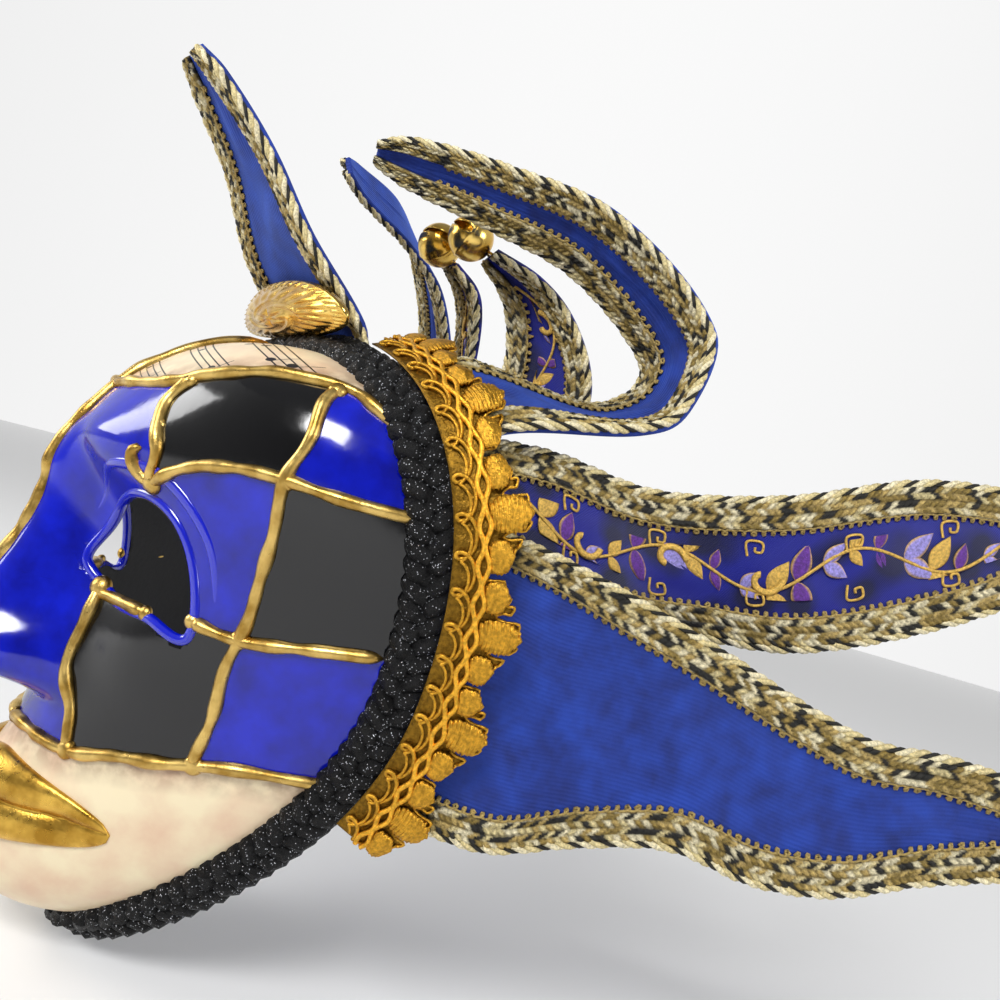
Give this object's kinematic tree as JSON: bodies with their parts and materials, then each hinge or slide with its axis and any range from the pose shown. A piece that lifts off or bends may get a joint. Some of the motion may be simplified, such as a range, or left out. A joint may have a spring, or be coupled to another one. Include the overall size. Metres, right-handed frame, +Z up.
{
  "type": "jester mask",
  "caption": "Full-face carnival mask with raised gold lines, lace and corded rim, and pointed velvet and brocade panels with bells.",
  "frame": {"origin": "inside the hollow of the mask, on its centre plane behind the nose, where the wearer's face sits", "axes": "+Z up, -Y the way the face looks, +X to the wearer's left"},
  "size_m": [0.3704, 0.2607, 0.2562],
  "materials": {
    "lacquered_shell": "gloss lacquer over papier-mache",
    "gold_paste": "satin gold",
    "black_cord": "plaited, sparkling",
    "gold_lace": "metallic thread",
    "stamped_gold": "polished",
    "blue_velvet": "velvet",
    "blue_brocade": "brocade",
    "gimp_braid": "woven gold, black and cream"
  },
  "bodies": {
    "root": {"face_shell": "lacquered_shell", "gold_lines": "gold_paste", "gilt_lips": "gold_paste", "rim_cord": "black_cord", "lace_left": "gold_lace", "lace_right": "gold_lace", "medallion": "stamped_gold", "top_point": "blue_velvet", "top_point_braid": "gimp_braid", "curled_point_left": "blue_velvet", "curled_point_braid_left": "gimp_braid", "curled_point_right": "blue_velvet", "curled_point_braid_right": "gimp_braid", "bell_point_left": "blue_brocade", "bell_point_braid_left": "gimp_braid", "bell_left": "stamped_gold", "bell_point_right": "blue_brocade", "bell_point_braid_right": "gimp_braid", "bell_right": "stamped_gold", "side_point_left": "blue_brocade", "side_point_braid_left": "gimp_braid", "side_point_right": "blue_brocade", "side_point_braid_right": "gimp_braid", "cheek_point_left": "blue_velvet", "cheek_point_braid_left": "gimp_braid", "cheek_point_right": "blue_velvet", "cheek_point_braid_right": "gimp_braid"}
  },
  "joints": []
}
